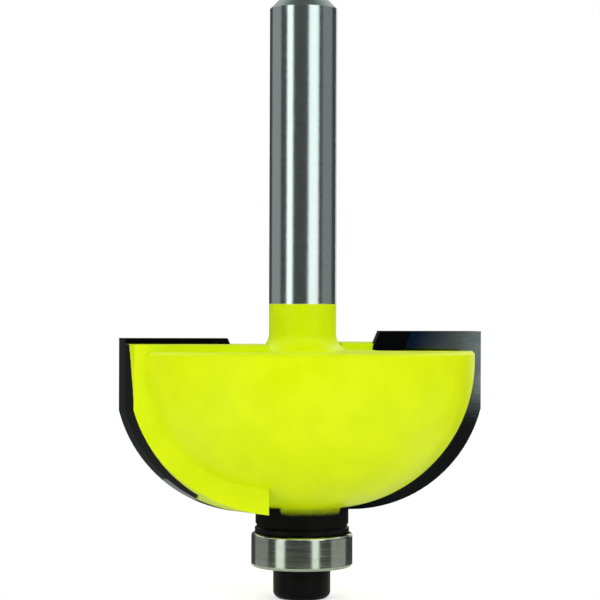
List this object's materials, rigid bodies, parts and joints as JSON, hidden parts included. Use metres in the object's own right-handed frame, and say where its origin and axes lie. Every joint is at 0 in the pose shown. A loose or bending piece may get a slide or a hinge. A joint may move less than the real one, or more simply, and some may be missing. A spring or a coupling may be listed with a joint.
{
  "type": "router bit",
  "caption": "Cove router bit with a bowl-shaped painted head, brazed carbide cutting tips, a round shank and a free-turning guide bearing held by a cap screw.",
  "frame": {"origin": "centre of the cap screw's head face, which is the lowest face", "axes": "+Z along the tool axis towards the shank's free end; the two cutting tips lie along X"},
  "size_m": [0.0344, 0.0324, 0.0563],
  "materials": {
    "painted_steel": "semi-gloss",
    "carbide": "ground",
    "black_steel": "black oxide",
    "bearing_steel": "ground",
    "cage_steel": "satin",
    "shield_steel": "satin",
    "ball_steel": "polished"
  },
  "bodies": {
    "cutter": {"cutter_body": "painted_steel", "carbide_tip_a": "carbide", "carbide_tip_b": "carbide", "dust_washer": "black_steel", "cap_screw": "black_steel", "bearing_inner_ring": "bearing_steel"},
    "guide_ring": {"bearing_outer_ring": "bearing_steel", "bearing_shield_top": "shield_steel", "bearing_shield_bottom": "shield_steel", "snap_wire_top": "shield_steel", "snap_wire_bottom": "shield_steel"},
    "cage": {"bearing_cage": "cage_steel"},
    "ball_1": {"bearing_ball_1": "ball_steel"},
    "ball_2": {"bearing_ball_2": "ball_steel"},
    "ball_3": {"bearing_ball_3": "ball_steel"},
    "ball_4": {"bearing_ball_4": "ball_steel"},
    "ball_5": {"bearing_ball_5": "ball_steel"},
    "ball_6": {"bearing_ball_6": "ball_steel"},
    "ball_7": {"bearing_ball_7": "ball_steel"},
    "ball_8": {"bearing_ball_8": "ball_steel"}
  },
  "joints": [
    {"name": "outer_ring_spin", "type": "hinge", "parent": "cutter", "child": "guide_ring", "pos_m": [0, 0, 0.00459], "axis": [0, 0, 1], "continuous": true},
    {"name": "cage_spin", "type": "hinge", "parent": "cutter", "child": "cage", "pos_m": [0, 0, 0.00459], "axis": [0, 0, 1], "continuous": true},
    {"name": "ball_1_roll", "type": "hinge", "parent": "cage", "child": "ball_1", "pos_m": [0.00357, 0, 0.00459], "axis": [0, 0, 1], "continuous": true},
    {"name": "ball_2_roll", "type": "hinge", "parent": "cage", "child": "ball_2", "pos_m": [0.00253, 0.00253, 0.00459], "axis": [0, 0, 1], "continuous": true},
    {"name": "ball_3_roll", "type": "hinge", "parent": "cage", "child": "ball_3", "pos_m": [0, 0.00357, 0.00459], "axis": [0, 0, 1], "continuous": true},
    {"name": "ball_4_roll", "type": "hinge", "parent": "cage", "child": "ball_4", "pos_m": [-0.00253, 0.00253, 0.00459], "axis": [0, 0, 1], "continuous": true},
    {"name": "ball_5_roll", "type": "hinge", "parent": "cage", "child": "ball_5", "pos_m": [-0.00357, 0, 0.00459], "axis": [0, 0, 1], "continuous": true},
    {"name": "ball_6_roll", "type": "hinge", "parent": "cage", "child": "ball_6", "pos_m": [-0.00253, -0.00253, 0.00459], "axis": [0, 0, 1], "continuous": true},
    {"name": "ball_7_roll", "type": "hinge", "parent": "cage", "child": "ball_7", "pos_m": [0, -0.00357, 0.00459], "axis": [0, 0, 1], "continuous": true},
    {"name": "ball_8_roll", "type": "hinge", "parent": "cage", "child": "ball_8", "pos_m": [0.00253, -0.00253, 0.00459], "axis": [0, 0, 1], "continuous": true}
  ],
  "couplings": [
    {"joint": "cage_spin", "follows": "outer_ring_spin", "ratio": 0.61111},
    {"joint": "ball_1_roll", "follows": "outer_ring_spin", "ratio": 2.1389},
    {"joint": "ball_2_roll", "follows": "outer_ring_spin", "ratio": 2.1389},
    {"joint": "ball_3_roll", "follows": "outer_ring_spin", "ratio": 2.1389},
    {"joint": "ball_4_roll", "follows": "outer_ring_spin", "ratio": 2.1389},
    {"joint": "ball_5_roll", "follows": "outer_ring_spin", "ratio": 2.1389},
    {"joint": "ball_6_roll", "follows": "outer_ring_spin", "ratio": 2.1389},
    {"joint": "ball_7_roll", "follows": "outer_ring_spin", "ratio": 2.1389},
    {"joint": "ball_8_roll", "follows": "outer_ring_spin", "ratio": 2.1389}
  ]
}
